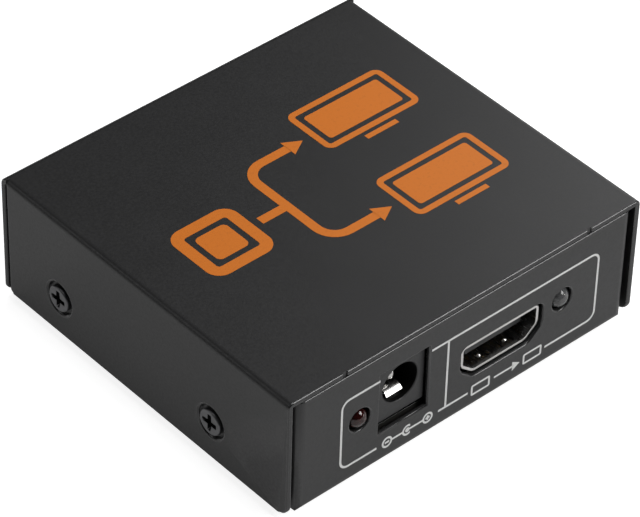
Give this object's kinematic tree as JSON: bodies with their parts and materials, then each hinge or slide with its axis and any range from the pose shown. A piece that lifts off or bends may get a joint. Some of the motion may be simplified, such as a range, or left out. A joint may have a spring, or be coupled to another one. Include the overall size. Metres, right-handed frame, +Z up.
{
  "type": "video splitter",
  "caption": "Small powered video splitter in a folded sheet-steel box: power jack, input socket and lamps at the front, output sockets at the rear.",
  "frame": {"origin": "centre of the case's footprint, on the surface it stands on", "axes": "+Z up, X along the front panel, which faces -Y"},
  "size_m": [0.0664, 0.062, 0.0228],
  "materials": {
    "case_paint": "matte charcoal powder coat",
    "foot_rubber": "matte",
    "plated_steel": "zinc or tin plated",
    "board_resist": "green solder resist on glass fibre",
    "black_plastic": "moulded, matte",
    "nickel": "nickel plated",
    "gold_plate": "gold plated",
    "red_lens": "tinted clear resin",
    "clear_lens": "clear resin",
    "chip_plastic": "moulded",
    "can_aluminium": "drawn can",
    "ceramic": "fired ceramic",
    "screw_black": "black plated steel"
  },
  "bodies": {
    "root": {"base_tray": "case_paint", "rubber_feet": "foot_rubber", "board_standoffs": "plated_steel", "circuit_board": "board_resist", "board_screws": "plated_steel", "power_jack_housing": "black_plastic", "power_jack_pin": "nickel", "power_jack_spring": "nickel", "power_jack_rear_terminal": "nickel", "power_jack_side_terminal": "nickel", "power_lamp": "red_lens", "input_lamp": "clear_lens", "output_lamp_1": "clear_lens", "output_lamp_2": "clear_lens", "lamp_leads": "plated_steel", "splitter_chip": "chip_plastic", "memory_chip": "chip_plastic", "regulators": "chip_plastic", "crystal": "plated_steel", "supply_capacitor": "can_aluminium", "protection_diode": "chip_plastic", "surge_arrays": "chip_plastic", "chip_capacitors": "ceramic", "chip_resistors": "chip_plastic", "top_cover": "case_paint", "cover_screws": "screw_black", "input_socket_shell": "nickel", "input_socket_insulator": "black_plastic", "input_socket_contacts": "gold_plate", "output_socket_1_shell": "nickel", "output_socket_1_insulator": "black_plastic", "output_socket_1_contacts": "gold_plate", "output_socket_2_shell": "nickel", "output_socket_2_insulator": "black_plastic", "output_socket_2_contacts": "gold_plate"}
  },
  "joints": []
}
